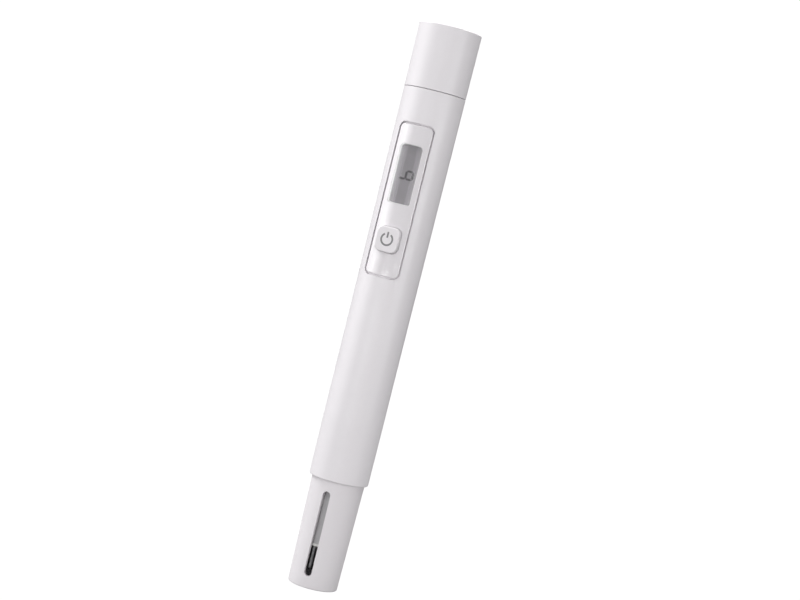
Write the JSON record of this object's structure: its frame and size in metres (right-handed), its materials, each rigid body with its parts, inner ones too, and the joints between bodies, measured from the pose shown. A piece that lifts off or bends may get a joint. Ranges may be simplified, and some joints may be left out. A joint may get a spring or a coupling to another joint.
{
  "type": "digital ph meter",
  "caption": "Pen-shaped pH tester: tapered white barrel, inset front panel with display and power button, pull-off battery cap, slotted probe sleeve round a glass bulb electrode.",
  "frame": {"origin": "centre of the probe sleeve's open mouth, at the bottom of the box", "axes": "+Z along the pen from the probe mouth to the tail; -Y is the front, where the panel, display and button are; +X is to the right seen from the front"},
  "size_m": [0.0166, 0.0174, 0.15],
  "materials": {
    "abs_satin_white": "satin moulded ABS",
    "abs_matt_white": "matt moulded ABS",
    "gloss_white": "polished face",
    "clear_window": "clear polished acrylic",
    "button_white": "satin",
    "silicone_grey": "soft silicone",
    "display_glass": "grey reflective display behind polariser",
    "moulded_white": "plain moulded",
    "zebra_rubber": "striped conductive rubber",
    "black_plastic": "moulded",
    "circuit_board": "solder mask",
    "black_epoxy": "chip package",
    "tinned_steel": "drawn can",
    "ceramic_chip": "ceramic with tinned ends",
    "zinc_steel": "zinc plated",
    "black_rubber": "greased nitrile",
    "nickel_strip": "nickel plated spring strip",
    "cell_steel": "nickel plated can",
    "electrode_grey": "grey moulded polycarbonate",
    "porous_white": "porous PTFE",
    "bulb_glass": "thin blown glass",
    "silver": "chloride-coated silver",
    "potting_resin": "cast resin",
    "stainless_pin": "polished stainless",
    "bead_epoxy": "epoxy bead",
    "lead_white": "insulation",
    "lead_black": "insulation",
    "lead_red": "insulation"
  },
  "bodies": {
    "root": {"barrel": "abs_satin_white", "probe_sleeve": "abs_matt_white", "front_panel": "gloss_white", "display_window": "clear_window", "button_gasket": "silicone_grey", "lcd_glass": "display_glass", "lcd_bezel": "moulded_white", "lcd_frame": "moulded_white", "zebra_strip_upper": "zebra_rubber", "zebra_strip_lower": "zebra_rubber", "switch_body": "black_plastic", "main_pcb": "circuit_board", "microcontroller": "black_epoxy", "amplifier_chip": "black_epoxy", "crystal": "tinned_steel", "smd_parts": "ceramic_chip", "pcb_screws": "zinc_steel", "chassis": "moulded_white", "cap_o_ring": "black_rubber", "electrode_o_ring": "black_rubber", "battery_contact_positive": "nickel_strip", "battery_contact_negative": "nickel_strip", "button_cell_lower": "cell_steel", "button_cell_upper": "cell_steel", "electrode_body": "electrode_grey", "reference_junction": "porous_white", "glass_electrode": "bulb_glass", "silver_wire": "silver", "reference_wire": "silver", "potting_seal": "potting_resin", "temperature_pin": "stainless_pin", "thermistor": "bead_epoxy", "glass_lead": "lead_white", "reference_lead": "lead_black", "thermistor_lead": "lead_red"},
    "tail_cap": {"tail_cap": "abs_satin_white"},
    "power_button": {"power_button": "button_white"},
    "switch_plunger": {"switch_plunger": "black_plastic"}
  },
  "joints": [
    {"name": "tail_cap_pull", "type": "slide", "parent": "root", "child": "tail_cap", "axis": [0, 0, 1], "range_m": [0, 0.025]},
    {"name": "power_button_press", "type": "slide", "parent": "root", "child": "power_button", "axis": [0, 1, 0], "range_m": [0, 0.00035], "stiffness_N_per_m": 1500, "springref_m": -0.0003},
    {"name": "switch_plunger_press", "type": "slide", "parent": "root", "child": "switch_plunger", "axis": [0, 1, 0], "range_m": [0, 0.00035]}
  ],
  "couplings": [
    {"joint": "switch_plunger_press", "follows": "power_button_press", "ratio": 1}
  ]
}
